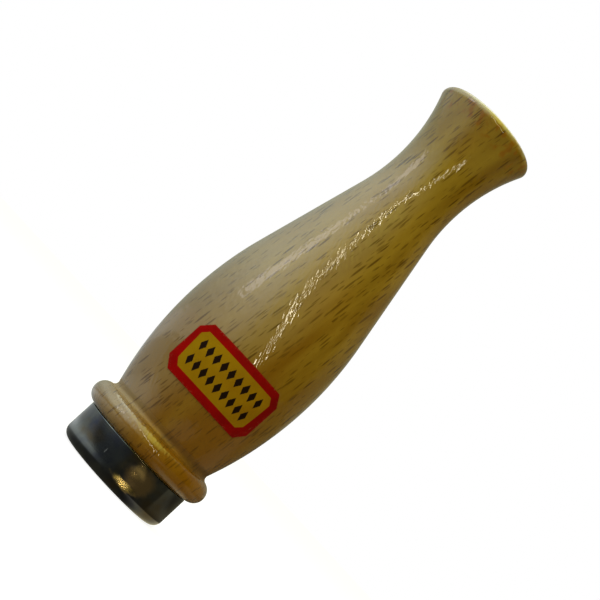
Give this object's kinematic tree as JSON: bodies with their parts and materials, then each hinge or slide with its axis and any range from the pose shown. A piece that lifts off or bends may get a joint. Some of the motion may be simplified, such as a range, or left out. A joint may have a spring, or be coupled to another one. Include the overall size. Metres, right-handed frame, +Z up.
{
  "type": "rabbit call",
  "caption": "Hand-held rabbit call: a turned wooden barrel with a flared mouth end pushes onto a corked reed insert with a drawn metal end cap, and is blown to sound the reed.",
  "frame": {"origin": "middle of the metal cap's flat end face, on which the call stands", "axes": "+Z runs up the turning axis to the flared mouth end, -Y faces the viewer of the label, +X is to that viewer's right"},
  "size_m": [0.0314, 0.0316, 0.0999],
  "materials": {
    "beech": "clear gloss lacquer over beech",
    "label_paper": "printed paper, nearly matte",
    "cap_metal": "polished plate, aged dark",
    "plug_wood": "bare turned beech",
    "cork": "bare cork",
    "brass": "drawn brass",
    "wedge_wood": "bare hardwood",
    "tongue_brass": "rolled spring brass"
  },
  "bodies": {
    "insert": {"end_cap": "cap_metal", "insert_plug": "plug_wood", "cork_sleeve": "cork", "reed_trough": "brass", "reed_wedge": "wedge_wood", "tongue_root": "tongue_brass"},
    "barrel": {"barrel": "beech", "label": "label_paper"},
    "tongue": {"reed_tongue": "tongue_brass"}
  },
  "joints": [
    {"name": "barrel_pull", "type": "slide", "parent": "insert", "child": "barrel", "axis": [0, 0, 1], "range_m": [0, 0.045]},
    {"name": "reed_flex", "type": "hinge", "parent": "insert", "child": "tongue", "pos_m": [0, 0, 0.0222], "axis": [1, 0, 0], "range_deg": [-2.2, 1.5], "stiffness_Nm_per_rad": 0.06}
  ]
}
